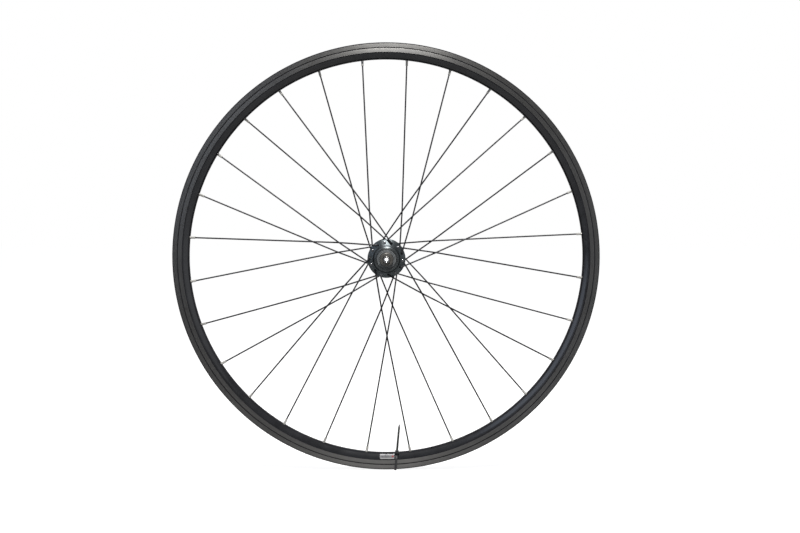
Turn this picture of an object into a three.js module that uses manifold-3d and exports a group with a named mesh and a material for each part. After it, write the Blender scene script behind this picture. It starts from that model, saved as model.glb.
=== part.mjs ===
// Rear bicycle wheel, 700C rim-brake size, 28 black spokes laced two-cross.
// Millimetres. Origin at the wheel's centre: the axle runs along Y, +Z is up,
// -Y is the left (non-drive) side and +Y is the right (drive) side.
import * as THREE from 'three';
import { mergeVertices } from 'three/addons/utils/BufferGeometryUtils.js';
import Module from 'manifold-3d';

const wasm = await Module();
wasm.setup();

// ---------------------------------------------------------------- dimensions
const RIM_R = 316.5;            // outer edge of the rim (bead seat 622 mm, 5.5 mm flange)
const RIM_HALF_W = 10.5;        // half the width over the brake tracks
const TRACK_R = 301.7;          // inner edge of the brake track
const BED_R = 293.5;            // spoke bed
const BED_HALF_W = 6.0;
const SEAT_R = 311.0;           // bead seat radius, ISO 622
const WELL_R = 307.0;           // centre well floor
const RIM_SEG = 56;             // two facets between neighbouring spokes

const SPOKES = 28;
const SPOKE_R = 1.0;            // 2.0 mm plain gauge
const FIRST_SPOKE = 6.95;       // angle of the first rim hole, degrees from +X towards +Z
const STEP = 360 / SPOKES;
const CROSS_R = 73;             // radius of the outer, interlaced crossing
const CROSS_HALF = 1.2;         // each spoke's offset there, along the axle
const HOLE_PCR = 23.6;          // flange hole circle radius
const HUB_TURN = 4 * STEP;      // hub hole leads or trails its rim hole by this

const FLANGE_R = 27.75;
const FLANGE_T = 1.6;           // half thickness
const FLANGE_L = -37;           // left flange mid plane
const FLANGE_RT = 21;           // right flange mid plane
const HUB_SEG = 28;

const OLD_HALF = 65;            // 130 mm over the dropout faces
const AXLE_END = 70.5;
const AXLE_BORE = 2.6;          // takes a 5 mm quick-release skewer
const STUB_R = 5.0;             // 10 mm axle stubs
const AXLE_R = 7.5;             // 15 mm through the bearings
const CAP_R = 9.5;

const RING_SEG = 18;
const TEETH = 24;               // ratchet teeth
const PAWL_PIVOT = 11.7;        // pawl pivot radius

// ------------------------------------------------------------------- finishes
const MAT = {
  rim:      { color: 0x141617, roughness: 0.38, metalness: 0.6 },
  tape:     { color: 0x2a4a8c, roughness: 0.6,  metalness: 0.0 },
  label:    { color: 0xc9cccd, roughness: 0.5,  metalness: 0.0 },
  nylon:    { color: 0x101113, roughness: 0.45, metalness: 0.0 },
  spoke:    { color: 0x17181b, roughness: 0.4,  metalness: 0.7 },
  hub:      { color: 0x0d0e11, roughness: 0.25, metalness: 0.7 },
  axle:     { color: 0x3a3c40, roughness: 0.35, metalness: 0.9 },
  cap:      { color: 0x15161a, roughness: 0.35, metalness: 0.7 },
  steel:    { color: 0xa6a9ad, roughness: 0.3,  metalness: 1.0 },
  seal:     { color: 0x23252a, roughness: 0.6,  metalness: 0.0 },
  freehub:  { color: 0x8d9094, roughness: 0.4,  metalness: 0.9 },
};

const rad = (d) => d * Math.PI / 180;
const polar = (r, deg, y = 0) => new THREE.Vector3(r * Math.cos(rad(deg)), y, r * Math.sin(rad(deg)));

// ------------------------------------------------------------ solids and cuts
function toSolid(geometry) {
  const bare = geometry.clone();
  for (const key of Object.keys(bare.attributes)) if (key !== 'position') bare.deleteAttribute(key);
  const merged = mergeVertices(bare, 1e-4);
  const pos = merged.attributes.position.array;
  const idx = merged.index.array;
  const tri = [];
  let vol = 0;
  for (let i = 0; i < idx.length; i += 3) {
    const [a, b, c] = [idx[i], idx[i + 1], idx[i + 2]];
    if (a === b || b === c || a === c) continue;
    tri.push(a, b, c);
    const [ax, ay, az, bx, by, bz, cx, cy, cz] =
      [a, b, c].flatMap((k) => [pos[3 * k], pos[3 * k + 1], pos[3 * k + 2]]);
    vol += ax * (by * cz - bz * cy) - ay * (bx * cz - bz * cx) + az * (bx * cy - by * cx);
  }
  if (vol < 0) for (let i = 0; i < tri.length; i += 3) [tri[i + 1], tri[i + 2]] = [tri[i + 2], tri[i + 1]];
  return new wasm.Manifold(new wasm.Mesh({
    numProp: 3, vertProperties: Float32Array.from(pos), triVerts: Uint32Array.from(tri),
  }));
}

function toGeometry(solid) {
  const mesh = solid.getMesh();
  const g = new THREE.BufferGeometry();
  g.setAttribute('position', new THREE.BufferAttribute(Float32Array.from(mesh.vertProperties), 3));
  g.setIndex(new THREE.BufferAttribute(Uint32Array.from(mesh.triVerts), 1));
  g.computeVertexNormals();
  return g;
}

// A ring turned about the axle from a closed outline of [radius, y] points.
function turned(outline, segments) {
  const pts = outline.map(([r, y]) => new THREE.Vector2(r, y));
  pts.push(pts[0].clone());
  return toSolid(new THREE.LatheGeometry(pts, segments));
}

// A plain bush between two radii and two planes.
const bush = (r0, r1, y0, y1, seg = RING_SEG) => turned([[r0, y0], [r1, y0], [r1, y1], [r0, y1]], seg);

// A flat shape whose outer outline always runs anticlockwise.
function flatShape(outline, holes = []) {
  let pts = outline.map(([x, y]) => new THREE.Vector2(x, y));
  if (THREE.ShapeUtils.isClockWise(pts)) pts = pts.reverse();
  const shape = new THREE.Shape(pts);
  for (const h of holes) shape.holes.push(new THREE.Path(h.map(([x, y]) => new THREE.Vector2(x, y))));
  return shape;
}

// A flat outline in the XZ plane (first coordinate X, second Z) given depth along Y.
function slab(outline, y0, y1, holes = []) {
  const flip = (list) => list.map(([x, z]) => [x, -z]);
  const shape = flatShape(flip(outline), holes.map(flip));
  const g = new THREE.ExtrudeGeometry(shape, { depth: y1 - y0, bevelEnabled: false, steps: 1 });
  g.rotateX(-Math.PI / 2);      // outline (x,-z) and depth z become x, z and y
  g.translate(0, y0, 0);
  return toSolid(g);
}

// A round bar between two points.
function bar(a, b, r0, r1, sides, turn = 0) {
  const dir = b.clone().sub(a);
  const g = new THREE.CylinderGeometry(r1, r0, dir.length(), sides, 1);
  g.rotateY(turn);
  g.applyQuaternion(new THREE.Quaternion().setFromUnitVectors(new THREE.Vector3(0, 1, 0), dir.clone().normalize()));
  g.translate(...a.clone().add(b).multiplyScalar(0.5).toArray());
  return toSolid(g);
}

// A turned piece whose profile [radius, distance] runs from a towards b.
function turnedAlong(profile, a, dir, sides) {
  const g = new THREE.LatheGeometry(profile.map(([r, t]) => new THREE.Vector2(r, t)), sides);
  g.applyQuaternion(new THREE.Quaternion().setFromUnitVectors(new THREE.Vector3(0, 1, 0), dir.clone().normalize()));
  g.translate(a.x, a.y, a.z);
  return toSolid(g);
}

// A wire through a list of stations, for extruding a section from one to the next.
class WireCurve extends THREE.Curve {
  constructor(stations) { super(); this.s = stations; }
  getPoint(t) {
    const f = Math.min(Math.max(t, 0), 1) * (this.s.length - 1);
    const k = Math.min(Math.floor(f + 1e-9), this.s.length - 2);
    return this.s[k].clone().lerp(this.s[k + 1], f - k);
  }
  getPointAt(u) { return this.getPoint(u); }
  getTangentAt(u) {
    const k = Math.round(u * (this.s.length - 1));
    const before = this.s[Math.max(k - 1, 0)], here = this.s[k], after = this.s[Math.min(k + 1, this.s.length - 1)];
    const a = here.clone().sub(before), b = after.clone().sub(here);
    if (a.lengthSq() > 0) a.normalize();
    if (b.lengthSq() > 0) b.normalize();
    return a.add(b).normalize();
  }
  getTangent(t) { return this.getTangentAt(t); }
}

function wire(stations, radius, sides) {
  const section = new THREE.Shape(Array.from({ length: sides }, (_, k) =>
    new THREE.Vector2(radius * Math.cos(2 * Math.PI * k / sides), radius * Math.sin(2 * Math.PI * k / sides))));
  return toSolid(new THREE.ExtrudeGeometry(section, {
    steps: stations.length - 1, extrudePath: new WireCurve(stations), bevelEnabled: false,
  }));
}

const wheel = new THREE.Group();
wheel.name = 'bicycle_wheel';
function add(name, solid, finish, place) {
  const mesh = new THREE.Mesh(toGeometry(solid), new THREE.MeshStandardMaterial(MAT[finish]));
  mesh.name = name;
  if (place) place(mesh);
  wheel.add(mesh);
  return mesh;
}

// ------------------------------------------------------------------------ rim
const rimAngle = (i) => FIRST_SPOKE + STEP * i;
const VALVE_ANGLE = rimAngle(21) + STEP / 2;     // between two spokes
{
  // Double-wall section: parallel brake tracks, sloping shoulders, a flat spoke
  // bed, hooked edges over the bead seats and a centre well.
  const half = [
    [RIM_R, -RIM_HALF_W], [TRACK_R, -RIM_HALF_W], [BED_R, -BED_HALF_W],
  ];
  const inside = [
    [RIM_R, 7.6], [SEAT_R, 8.7], [SEAT_R, 6.6], [WELL_R, 5.0],
  ];
  const mirrored = (list) => list.slice().reverse().map(([r, y]) => [r, -y]);
  const outer = turned([...half, ...mirrored(half), ...inside, ...mirrored(inside)], RIM_SEG);
  const chamber = turned([[305.0, -8.7], [302.2, -8.7], [295.5, -5.2], [295.5, 5.2], [302.2, 8.7], [305.0, 8.7]], RIM_SEG);
  let rim = outer.subtract(chamber);
  for (let i = 0; i < SPOKES; i++) {
    const a = rimAngle(i);
    rim = rim.subtract(bar(polar(291, a), polar(300, a), 2.7, 2.7, 6));       // nipple hole in the bed
    rim = rim.subtract(bar(polar(300, a), polar(309, a), 3.6, 3.6, 6));       // access hole in the well
  }
  rim = rim.subtract(bar(polar(291, VALVE_ANGLE), polar(309, VALVE_ANGLE), 3.25, 3.25, 8));
  add('rim', rim, 'rim');

  let tape = turned([[307.3, -4.5], [307.9, -4.5], [307.9, 4.5], [307.3, 4.5]], RIM_SEG);
  tape = tape.subtract(bar(polar(304, VALVE_ANGLE), polar(311, VALVE_ANGLE), 3.25, 3.25, 8));
  add('rim_tape', tape, 'tape');
}

// ----------------------------------------------------- label on the left wall
{
  // A plain sticker on the sloping left shoulder at the bottom of the rim.
  const a = 270.1, midR = (TRACK_R + BED_R) / 2, midY = -(RIM_HALF_W + BED_HALF_W) / 2;
  const n2 = new THREE.Vector2(-(RIM_HALF_W - BED_HALF_W), -(TRACK_R - BED_R)).normalize();   // (radial, y)
  const g = new THREE.BoxGeometry(20.5, 0.2, 7.6);
  const t = polar(1, a + 90), r = polar(1, a);
  const normal = r.clone().multiplyScalar(n2.x).add(new THREE.Vector3(0, n2.y, 0));
  const side = t.clone().cross(normal);
  g.applyMatrix4(new THREE.Matrix4().makeBasis(t, normal, side));
  const c = polar(midR, a, midY).add(normal.clone().multiplyScalar(0.55));
  g.translate(c.x, c.y, c.z);
  add('rim_label', toSolid(g), 'label');
}

// ------------------------------------------------- cable tie round the section
{
  const a = 272.95, w = 1.7, gap = 0.5, t = 1.1;
  const skew = 0.14;            // the whole tie leans by this off the radial line
  // Strap loop in the plane of the axle: [radius, y] outlines, inner then outer.
  const loop = (d) => [
    [RIM_R + d, -(RIM_HALF_W + d)], [TRACK_R - 0.2 * d, -(RIM_HALF_W + d)], [BED_R - d - 0.4, -(BED_HALF_W + 0.6 * d)],
    [BED_R - d - 0.4, BED_HALF_W + 0.6 * d], [TRACK_R - 0.2 * d, RIM_HALF_W + d], [RIM_R + d, RIM_HALF_W + d],
  ];
  const strap = new THREE.ExtrudeGeometry(flatShape(loop(gap + t), [loop(gap)]), { depth: 2 * w, bevelEnabled: false, steps: 1 });
  strap.translate(0, 0, -w);
  const R0 = polar(1, a), T = polar(1, a + 90), Y = new THREE.Vector3(0, 1, 0);
  const R = R0.clone().sub(T.clone().multiplyScalar(skew)).normalize();
  const basis = new THREE.Matrix4().makeBasis(R, Y, R.clone().cross(Y));
  const shift = R0.clone().sub(R).multiplyScalar(BED_R);
  strap.applyMatrix4(basis);
  strap.translate(shift.x, shift.y, shift.z);
  // Ratchet head at the left corner of the bed, with the cut-free tail beyond it.
  const head = new THREE.BoxGeometry(4.6, 4.4, 5.4);
  head.translate(BED_R - 2.9, -8.9, 0);
  head.applyMatrix4(basis);
  head.translate(shift.x, shift.y, shift.z);
  const tail = new THREE.Shape([[-1.4, 0], [1.4, 0], [1.3, 35], [0.7, 40.5], [-0.4, 40.5], [-1.3, 35]]
    .map(([x, y]) => new THREE.Vector2(x, y)));
  const tg = new THREE.ExtrudeGeometry(tail, { depth: 1.1, bevelEnabled: false, steps: 1 });
  const inward = R.clone().multiplyScalar(-1);
  const across = Y.clone().cross(inward).normalize();
  tg.applyMatrix4(new THREE.Matrix4().makeBasis(across, inward, across.clone().cross(inward)));
  const from = R.clone().multiplyScalar(BED_R - 4.2).add(shift).add(new THREE.Vector3(0, -9.2, 0));
  tg.translate(from.x, from.y, from.z);
  add('cable_tie', toSolid(strap).add(toSolid(head)).add(toSolid(tg)), 'nylon');
}

// --------------------------------------------------------------------- spokes
// Even holes go to the right flange and odd holes to the left. On the left
// flange the spokes that trail clockwise have their elbows outside; the right
// flange mirrors it. Each pair crosses twice, and at the outer crossing the
// elbow-out spoke passes inside its partner, so both are bent there.
const LEAN = [-1, 1, 1, -1, -1, 1, 1, -1, -1, 1, 1, -1, -1, 1, 1, -1, -1, 1, 1, -1, -1, 1, 1, -1, -1, 1, 1, -1];
const pad2 = (n) => String(n).padStart(2, '0');
const hubHoles = [];
for (let i = 0; i < SPOKES; i++) {
  const left = i % 2 === 1, side = left ? -1 : 1, plane = left ? FLANGE_L : FLANGE_RT;
  const lean = LEAN[i];
  const elbowOut = left ? lean > 0 : lean < 0;
  const out = elbowOut ? side : -side;                     // direction in which the elbow leaves the flange
  const hubAngle = rimAngle(i) - lean * HUB_TURN;
  const crossAngle = rimAngle(i) - lean * STEP;
  hubHoles.push([hubAngle, plane]);

  const nominal = plane * (1 - (CROSS_R - HOLE_PCR) / (BED_R - HOLE_PCR));
  const crossY = nominal + (elbowOut ? -side : side) * CROSS_HALF;
  const cross = polar(CROSS_R, crossAngle, crossY);
  const hole = polar(HOLE_PCR, hubAngle, plane);
  const flat = new THREE.Vector3(cross.x - hole.x, 0, cross.z - hole.z).normalize();
  const at = (along, up) => hole.clone().add(flat.clone().multiplyScalar(along)).add(new THREE.Vector3(0, out * up, 0));
  const rimPoint = polar(BED_R + 1, rimAngle(i));
  const run = rimPoint.clone().sub(cross).normalize();
  const end = rimPoint.clone().add(run.clone().multiplyScalar(-2));

  const bend = 1.8, rise = FLANGE_T + 1.6;                 // elbow radius, centre line height over the flange
  const stations = [
    at(0, -(FLANGE_T + 0.9)), at(0, rise - bend),
    at(bend * (1 - Math.cos(rad(45))), rise - bend + bend * Math.sin(rad(45))),
    at(bend, rise), at(8.2, rise), cross, end,
  ];
  const head = turnedAlong([[0, 0], [2.2, 0], [1.7, 0.9], [0, 1.25]], at(0, -(FLANGE_T + 0.3)),
    new THREE.Vector3(0, -out, 0), 5);
  const nipple = turnedAlong([[0, -9.2], [1.75, -9.2], [1.95, 1.7], [3.0, 2.2], [0, 4.3]], rimPoint, run, 5);
  add('spoke_' + pad2(i + 1), wire(stations, SPOKE_R, 5).add(head).add(nipple), 'spoke');
}

// ------------------------------------------------------------------ hub shell
{
  const L = FLANGE_L, Rt = FLANGE_RT, t = FLANGE_T;
  let shell = turned([
    [14.4, -49.4], [17.3, -49.4], [18.2, -48.5], [18.2, -41.2], [20.2, L - t], [FLANGE_R, L - t],
    [FLANGE_R, L + t], [20.2, L + t], [15.2, -28.5], [15.2, 12.5], [20.2, Rt - t], [FLANGE_R, Rt - t],
    [FLANGE_R, Rt + t], [20.7, Rt + t], [20.2, 28.0], [18.4, 28.0], [18.4, 20.5], [14.4, 20.5],
    [14.4, 12.8], [12.4, 12.8], [12.4, -41.2], [14.4, -41.2],
  ], HUB_SEG);
  for (const [a, y] of hubHoles) shell = shell.subtract(bar(polar(HOLE_PCR, a, y - 4), polar(HOLE_PCR, a, y + 4), 1.6, 1.6, 6));
  add('hub_shell', shell, 'hub');
}

// -------------------------------------------------------------- axle and caps
{
  add('axle', turned([
    [AXLE_BORE, -AXLE_END], [STUB_R, -AXLE_END], [STUB_R, -52], [AXLE_R, -52], [AXLE_R, -41.2], [9.0, -41.2],
    [9.0, 12.8], [AXLE_R, 12.8], [AXLE_R, 61.5], [STUB_R, 61.5], [STUB_R, AXLE_END], [AXLE_BORE, AXLE_END],
  ], RING_SEG), 'axle');
  add('left_end_cap', turned([
    [5.3, -OLD_HALF], [CAP_R, -OLD_HALF], [CAP_R, -48.8], [7.8, -48.8], [7.8, -52.3], [5.3, -52.3],
  ], RING_SEG), 'cap');
  add('right_end_cap', turned([
    [5.3, OLD_HALF], [CAP_R, OLD_HALF], [CAP_R, 61.0], [8.7, 60.4], [8.7, 59.3], [7.8, 59.3], [7.8, 61.8], [5.3, 61.8],
  ], RING_SEG), 'cap');
}

// ------------------------------------------------------------------- bearings
// Inner race, outer race, and the balls held in their cage as one ring.
function bearing(name, y0, y1, r, ball, count) {
  add(name + '_inner_race', bush(r[0], r[1], y0, y1, RING_SEG), 'steel');
  add(name + '_outer_race', bush(r[2], r[3], y0, y1), 'steel');
  const mid = (r[1] + r[2]) / 2, my = (y0 + y1) / 2;
  let cage = bush(mid - 0.45, mid + 0.45, my - ball * 0.8, my + ball * 0.8, RING_SEG);
  for (let k = 0; k < count; k++) {
    const g = new THREE.OctahedronGeometry(ball, 0);
    const c = polar(mid, 360 * k / count, my);
    g.translate(c.x, c.y, c.z);
    cage = cage.add(toSolid(g));
  }
  add(name + '_balls', cage, 'steel');
}
bearing('left_bearing', -48.5, -41.5, [7.8, 9.0, 12.5, 14.0], 1.4, 7);
bearing('right_bearing', 13.1, 20.1, [7.8, 9.0, 12.5, 14.0], 1.4, 7);
bearing('freehub_inner_bearing', 31.0, 36.0, [7.8, 8.7, 10.9, 12.0], 0.8, 7);
bearing('freehub_outer_bearing', 54.0, 59.0, [7.8, 8.7, 10.9, 12.0], 0.8, 7);
add('left_bearing_seal', bush(9.9, 14.0, -49.3, -48.8), 'seal');
add('drive_side_spacer', bush(7.8, 9.0, 20.4, 30.7, RING_SEG), 'steel');
add('freehub_inner_spacer', bush(7.8, 8.7, 36.3, 53.7, RING_SEG), 'steel');
add('freehub_outer_spacer', bush(10.9, 12.0, 36.3, 53.7, RING_SEG), 'steel');
add('freehub_seal', bush(14.0, 18.0, 27.1, 27.8), 'seal');

// ------------------------------------------------- ratchet ring, pressed in hub
{
  const outer = Array.from({ length: 36 }, (_, k) => [18.1 * Math.cos(rad(10 * k)), 18.1 * Math.sin(rad(10 * k))]);
  const inner = [];
  for (let k = 0; k < TEETH; k++) {
    const a = 22.5 + k * 360 / TEETH;
    inner.push([15.9 * Math.cos(rad(a)), 15.9 * Math.sin(rad(a))]);
    inner.push([14.6 * Math.cos(rad(a + 0.8)), 14.6 * Math.sin(rad(a + 0.8))]);
  }
  add('ratchet_ring', slab(outer, 20.9, 26.7, [inner]), 'steel');
}

// -------------------------------------------------------------------- freehub
{
  const O = new THREE.Vector3(), AXIS = new THREE.Vector3(0, 1, 0);
  const carrier = turnedAlong([
    [0, 21.0], [13.3, 21.0], [13.3, 26.3], [12.5, 26.3], [12.5, 27.0], [13.3, 27.0], [13.3, 28.6],
    [18.2, 28.6], [18.2, 30.2], [0, 30.2],
  ], O, AXIS, RING_SEG);
  const spline = [];
  for (let k = 0; k < 9; k++) {
    for (const [r, a] of [[16.2, -14], [16.2, -5.2], [17.3, -5.0], [17.3, 5.0], [16.2, 5.2], [16.2, 14]]) {
      spline.push([r * Math.cos(rad(40 * k + a)), r * Math.sin(rad(40 * k + a))]);
    }
  }
  const along = (y) => new THREE.Vector3(0, y, 0);
  let body = carrier.add(slab(spline, 30.0, 57.5)).add(bar(along(57), along(60), 15.3, 15.3, RING_SEG))
    .subtract(bar(along(30.7), along(61), 12.3, 12.3, RING_SEG))       // bearing seats
    .subtract(bar(along(20), along(32), 9.6, 9.6, RING_SEG));          // clear of the axle spacer
  const pocket = [[10.2, -1.6], [16, -1.6], [16, 6.6], [10.2, 6.6]];
  const pawl = [[10.7, -0.8], [12.4, -1.1], [12.9, 0.2], [12.9, 5.6], [11.9, 6.0], [11.2, 1.2]];
  for (let k = 0; k < 3; k++) {
    const turn = ([x, z]) => {
      const a = rad(120 * k), c = Math.cos(a), s = Math.sin(a);
      return [x * c - z * s, x * s + z * c];
    };
    body = body.subtract(slab(pocket.map(turn), 21.9, 26.1));
    add('pawl_' + (k + 1), slab(pawl.map(turn), 22.2, 25.8), 'steel');
  }
  add('freehub_body', body, 'freehub');
  // Open wire ring lying in its groove beside the pawls.
  add('pawl_spring', wire(Array.from({ length: 17 }, (_, k) => polar(13.0, 20 + 20 * k, 26.65)), 0.2, 4), 'steel');
}

export default wheel;
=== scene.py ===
import math

import bmesh
import bpy
import numpy as np
from mathutils import Matrix, Vector


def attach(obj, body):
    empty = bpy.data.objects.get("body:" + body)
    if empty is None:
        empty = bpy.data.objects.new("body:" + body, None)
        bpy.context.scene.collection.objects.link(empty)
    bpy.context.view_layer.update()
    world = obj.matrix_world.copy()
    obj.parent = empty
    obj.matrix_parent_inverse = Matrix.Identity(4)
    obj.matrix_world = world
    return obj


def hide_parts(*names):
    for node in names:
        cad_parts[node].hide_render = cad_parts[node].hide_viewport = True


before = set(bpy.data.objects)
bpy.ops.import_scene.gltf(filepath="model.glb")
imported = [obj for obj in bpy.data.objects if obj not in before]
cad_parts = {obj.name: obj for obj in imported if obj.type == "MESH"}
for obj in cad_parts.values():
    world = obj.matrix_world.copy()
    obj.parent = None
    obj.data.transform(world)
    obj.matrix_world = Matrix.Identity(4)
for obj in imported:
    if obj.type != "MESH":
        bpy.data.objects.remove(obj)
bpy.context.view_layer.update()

MM = 0.001
scene = bpy.context.scene

# ---------------------------------------------------------------- dimensions
SPOKES = 28
STEP = 360 / SPOKES
FIRST = 6.95
RIM_R, TRACK_IN, BED_R = 316.5, 301.7, 293.5
HOLE_PCR, CROSS_R, CROSS_HALF = 23.6, 73.0, 1.2
FLANGE_L, FLANGE_RT = -37.0, 21.0
VALVE_AT = FIRST + 21.5 * STEP
LEAN = [-1, 1, 1, -1] * 7
TIE_AT, LABEL_AT = 272.95, 270.15


def rad(d):
    return d * math.pi / 180


def polar(r, deg, y=0.0):
    return np.array([r * math.cos(rad(deg)), y, r * math.sin(rad(deg))])


def unit(v):
    return v / np.linalg.norm(v)


# ------------------------------------------------------------------- camera
def set_camera():
    az, el, z, cx, cz, f = rad(0.69), rad(3.0), 1.6, 0.0201, -0.01305, 1073.8
    fw = Vector((math.sin(az) * math.cos(el), math.cos(az) * math.cos(el), -math.sin(el)))
    rt = Vector((math.cos(az), -math.sin(az), 0))
    up = rt.cross(fw)
    data = bpy.data.cameras.new("camera")
    data.sensor_width = 36
    data.lens = f * 36 / 800
    data.clip_start = 0.05
    data.clip_end = 50
    cam = bpy.data.objects.new("camera", data)
    m = Matrix((rt, up, -fw)).transposed().to_4x4()
    m.translation = -z * fw + cx * rt + cz * up
    cam.matrix_world = m
    scene.collection.objects.link(cam)
    scene.camera = cam


set_camera()


# ---------------------------------------------------------------- materials
def nodes_of(name):
    mat = bpy.data.materials.new(name)
    mat.use_nodes = True
    nt = mat.node_tree
    return mat, nt, nt.nodes["Principled BSDF"]


class Net:
    """Small helper around one material's node tree."""

    def __init__(self, name, metallic=0.0, ior=1.5, **sockets):
        self.mat, self.nt, self.bsdf = nodes_of(name)
        self.set(Metallic=metallic, IOR=ior, **sockets)
        self.coord = self.new("ShaderNodeTexCoord").outputs["Object"]

    def set(self, **sockets):
        for key, value in sockets.items():
            self.bsdf.inputs[key.replace("_", " ")].default_value = value

    def new(self, kind, **props):
        n = self.nt.nodes.new(kind)
        for k, v in props.items():
            setattr(n, k, v)
        return n

    def link(self, a, b):
        self.nt.links.new(a, b)

    def math(self, op, a, b=None, c=None, clamp=False):
        n = self.new("ShaderNodeMath", operation=op, use_clamp=clamp)
        for i, v in enumerate((a, b, c)):
            if v is None:
                continue
            if isinstance(v, (int, float)):
                n.inputs[i].default_value = v
            else:
                self.link(v, n.inputs[i])
        return n.outputs[0]

    def scaled(self, scale):
        n = self.new("ShaderNodeMapping")
        n.inputs["Scale"].default_value = scale
        self.link(self.coord, n.inputs["Vector"])
        return n.outputs[0]

    def noise(self, scale, detail=3.0, rough=0.5, vector=None, distortion=0.0):
        n = self.new("ShaderNodeTexNoise")
        n.inputs["Scale"].default_value = scale
        n.inputs["Detail"].default_value = detail
        n.inputs["Roughness"].default_value = rough
        n.inputs["Distortion"].default_value = distortion
        self.link(vector or self.coord, n.inputs["Vector"])
        return n.outputs["Fac"]

    def remap(self, fac, lo, hi, f0=0.3, f1=0.7):
        n = self.new("ShaderNodeMapRange")
        n.inputs["From Min"].default_value = f0
        n.inputs["From Max"].default_value = f1
        n.inputs["To Min"].default_value = lo
        n.inputs["To Max"].default_value = hi
        self.link(fac, n.inputs["Value"])
        return n.outputs[0]

    def mix(self, fac, a, b):
        n = self.new("ShaderNodeMix", data_type="RGBA")
        for sock, v in ((n.inputs[0], fac), (n.inputs[6], a), (n.inputs[7], b)):
            if isinstance(v, (int, float)):
                sock.default_value = v
            elif isinstance(v, tuple):
                sock.default_value = (*v, 1.0)
            else:
                self.link(v, sock)
        return n.outputs[2]

    def radius(self):
        """Distance from the axle line, in mm."""
        m = self.new("ShaderNodeMapping")
        m.inputs["Scale"].default_value = (1000, 0, 1000)
        self.link(self.coord, m.inputs["Vector"])
        n = self.new("ShaderNodeVectorMath", operation="LENGTH")
        self.link(m.outputs[0], n.inputs[0])
        return n.outputs["Value"]

    def axial(self):
        s = self.new("ShaderNodeSeparateXYZ")
        self.link(self.coord, s.inputs[0])
        return self.math("MULTIPLY", s.outputs["Y"], 1000.0)

    def angle(self):
        """Angle round the axle in radians."""
        s = self.new("ShaderNodeSeparateXYZ")
        self.link(self.coord, s.inputs[0])
        return self.math("ARCTAN2", s.outputs["Z"], s.outputs["X"])

    def rings(self, per_mm, stretch=0.0, axial=True):
        """Turning or brushing lines: fine across, nearly constant round the axle."""
        c = self.new("ShaderNodeCombineXYZ")
        self.link(self.math("MULTIPLY", self.radius(), per_mm), c.inputs[0])
        if axial:
            self.link(self.math("MULTIPLY", self.axial(), per_mm), c.inputs[1])
        if stretch:
            self.link(self.math("MULTIPLY", self.angle(), stretch), c.inputs[2])
        n = self.new("ShaderNodeTexNoise")
        n.inputs["Scale"].default_value = 1.0
        n.inputs["Detail"].default_value = 4.0
        n.inputs["Roughness"].default_value = 0.65
        self.link(c.outputs[0], n.inputs["Vector"])
        return n.outputs["Fac"]

    def colour(self, out):
        self.link(out, self.bsdf.inputs["Base Color"])

    def roughness(self, out):
        self.link(out, self.bsdf.inputs["Roughness"])

    def bump(self, *pairs):
        """pairs of (height socket, strength, distance in mm)"""
        last = None
        for h, strength, dist in pairs:
            b = self.new("ShaderNodeBump")
            b.inputs["Strength"].default_value = strength
            b.inputs["Distance"].default_value = dist * MM
            self.link(h, b.inputs["Height"])
            if last is not None:
                self.link(last, b.inputs["Normal"])
            last = b.outputs["Normal"]
        self.link(last, self.bsdf.inputs["Normal"])

    def around_axle(self):
        t = self.new("ShaderNodeTangent", direction_type="RADIAL", axis="Y")
        self.link(t.outputs[0], self.bsdf.inputs["Tangent"])


def turned_metal(name, dark, light, r0, r1, metallic=1.0, aniso=0.5, per_mm=6.0, bump=0.12, **kw):
    """Metal turned on a lathe: fine rings, a little blotching, faint dust."""
    n = Net(name, metallic=metallic, Anisotropic=aniso, Anisotropic_Rotation=0.25, **kw)
    line = n.rings(per_mm)
    blot = n.noise(160, 4, 0.6)
    n.colour(n.mix(n.remap(line, 0.0, 1.0), n.mix(n.remap(blot, 0.0, 0.6), dark, light), light))
    n.roughness(n.remap(n.math("ADD", n.math("MULTIPLY", line, 0.6), n.math("MULTIPLY", blot, 0.4)), r0, r1))
    n.bump((line, bump, 0.03), (n.noise(2500, 2), 0.04, 0.01))
    n.around_axle()
    return n.mat


def rim_track_mat():
    n = Net("rim_track", metallic=0.9, Anisotropic=0.8, Anisotropic_Rotation=0.25)
    line = n.rings(3.0, stretch=2.0)
    wide = n.rings(0.55, stretch=0.8)
    blot = n.noise(16, 5, 0.65)
    base = n.mix(n.remap(line, 0.0, 1.0), (0.092, 0.091, 0.0895), (0.112, 0.1105, 0.108))
    worn = n.mix(n.remap(n.math("MULTIPLY", wide, blot), 0.0, 0.8, 0.22, 0.42), base, (0.136, 0.1335, 0.1295))
    n.colour(worn)
    n.roughness(n.remap(n.math("ADD", n.math("MULTIPLY", line, 0.4), n.math("MULTIPLY", blot, 0.6)), 0.38, 0.45))
    n.bump((wide, 0.03, 0.03))
    n.around_axle()
    return n.mat


def rim_wall_mat():
    n = Net("rim_wall", metallic=0.3)
    fine = n.noise(900, 3, 0.6)
    blot = n.noise(35, 5, 0.6)
    scuff = n.noise(60, 6, 0.8, distortion=1.2)
    base = n.mix(n.remap(blot, 0.0, 1.0), (0.0085, 0.0088, 0.0100), (0.0160, 0.0165, 0.0185))
    n.colour(n.mix(n.remap(scuff, 0.0, 0.35, 0.70, 0.84), base, (0.032, 0.032, 0.034)))
    n.roughness(n.remap(n.math("ADD", n.math("MULTIPLY", fine, 0.4), n.math("MULTIPLY", blot, 0.6)), 0.15, 0.24))
    n.bump((fine, 0.02, 0.01), (blot, 0.02, 0.1))
    return n.mat


def rim_bed_mat():
    n = Net("rim_bed", Specular_IOR_Level=0.03)
    fine = n.noise(900, 3, 0.6)
    n.colour(n.mix(n.remap(n.noise(40, 4), 0.0, 1.0), (0.006, 0.006, 0.007), (0.012, 0.012, 0.014)))
    n.roughness(n.remap(fine, 0.5, 0.66))
    n.bump((fine, 0.04, 0.01))
    return n.mat


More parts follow.
